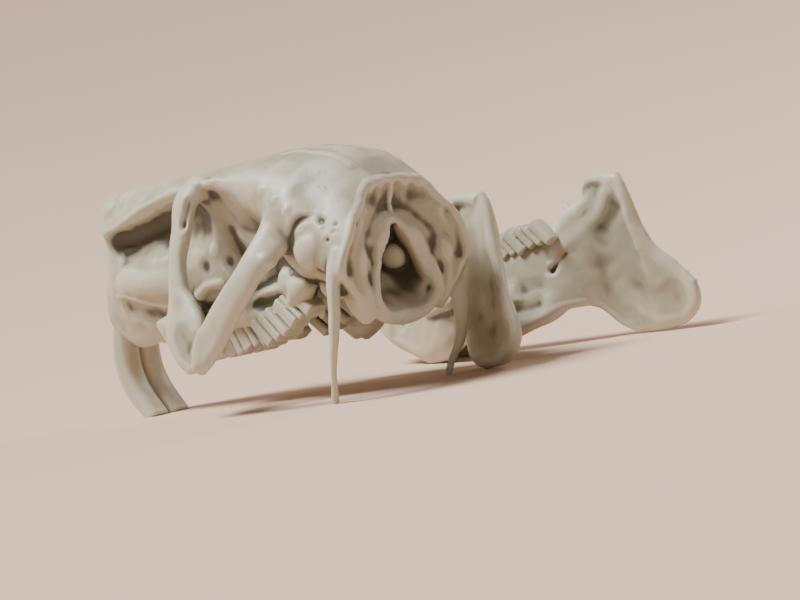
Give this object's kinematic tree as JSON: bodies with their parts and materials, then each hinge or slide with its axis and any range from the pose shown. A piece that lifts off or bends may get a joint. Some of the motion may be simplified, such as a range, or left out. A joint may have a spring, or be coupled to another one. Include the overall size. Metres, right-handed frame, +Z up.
{
  "type": "animal skull",
  "caption": "Life-size skull of a very large rodent: cranium resting on its front teeth and two rear processes, with the lower jaw lying beside it.",
  "frame": {"origin": "Middle of the footprint of cranium and jaw together, on the surface that they rest on.", "axes": "+Z is up. The noses point towards -X, the animal's left side is towards -Y, and the lower jaw lies on the +Y side of the cranium."},
  "size_m": [0.279, 0.2388, 0.1271],
  "materials": {
    "bone": "dry cream bone, smooth with a soft low sheen",
    "tooth": "ivory tooth, slightly glossier than the bone"
  },
  "bodies": {
    "root": {"braincase": "bone", "snout": "bone", "palate_and_cheek_teeth": "bone", "zygomatic_left": "bone", "zygomatic_right": "bone", "paroccipital_left": "bone", "paroccipital_right": "bone", "jaw_left": "bone", "jaw_right": "bone", "upper_incisor_left": "tooth", "upper_incisor_right": "tooth", "lower_incisor_left": "tooth", "lower_incisor_right": "tooth"}
  },
  "joints": []
}
